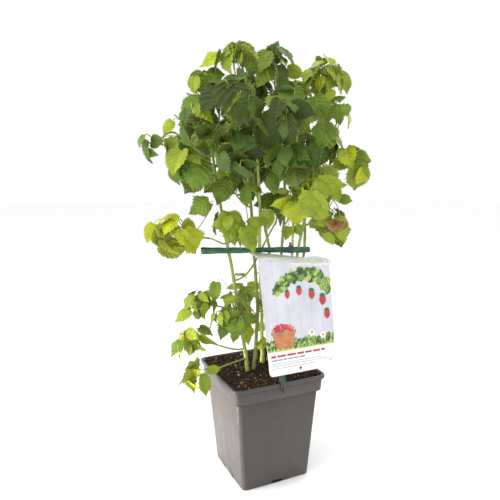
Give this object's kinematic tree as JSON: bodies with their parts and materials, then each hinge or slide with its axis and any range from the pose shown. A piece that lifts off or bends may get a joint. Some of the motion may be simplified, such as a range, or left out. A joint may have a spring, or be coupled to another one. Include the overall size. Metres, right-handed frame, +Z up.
{
  "type": "raspberry cane in a pot",
  "caption": "Raspberry plant of slender green canes tied in a fan, with a dense leafy crown, standing in a square tapered nursery pot of bark soil with a leaning plant label.",
  "frame": {"origin": "middle of the pot's flat underside", "axes": "+Z up; -Y is the side of the pot that carries the plant label; the fan of canes is turned 24 degrees clockwise from the pot's X axis, seen from above"},
  "size_m": [0.3709, 0.3139, 0.7803],
  "materials": {
    "pot": "injection-moulded grey-brown nursery plastic with a faint grain",
    "soil": "loose dark peat and composted bark",
    "cane": "green young bark, waxy, with fine bristles",
    "leaf": "soft pleated leaves, paler beneath",
    "band": "dark green soft plastic tie",
    "card": "printed plastic label card with a clear folded top",
    "clip": "small grey-green moulded pegs"
  },
  "bodies": {
    "root": {"back_left": "leaf", "back_low": "leaf", "back_right": "leaf", "band_back": "band", "band_front": "band", "bright_cane": "cane", "card_clip": "clip", "core": "leaf", "crossing_cane": "cane", "foot_back": "leaf", "foot_left_high": "leaf", "foot_left_low": "leaf", "foot_middle": "leaf", "foot_over_rim": "leaf", "front_left": "leaf", "front_low": "leaf", "front_low_right": "leaf", "front_right": "leaf", "front_upper": "leaf", "heart": "leaf", "inner_low": "leaf", "label_card": "card", "left_arm": "cane", "left_back": "leaf", "left_cane": "cane", "left_hang": "leaf", "left_low": "leaf", "left_shoulder": "leaf", "left_tip": "leaf", "low_left_bough": "cane", "low_left_leaf": "leaf", "low_right_bough": "cane", "low_right_leaf": "leaf", "low_side_bough": "cane", "mid_behind": "leaf", "mid_fan": "leaf", "mid_fan_left": "leaf", "mid_right_fan": "leaf", "middle_cane": "cane", "olive_cane": "cane", "pot": "pot", "rear_cane": "cane", "right_arm": "cane", "right_back": "leaf", "right_cane": "cane", "right_drape": "leaf", "right_group": "leaf", "right_low": "leaf", "right_shoulder": "leaf", "rim_clip": "clip", "soil": "soil", "top_back": "leaf", "top_back_right": "leaf", "top_fold": "leaf", "top_left": "leaf", "top_right": "leaf", "top_tip": "leaf", "upright_cane": "cane"}
  },
  "joints": []
}
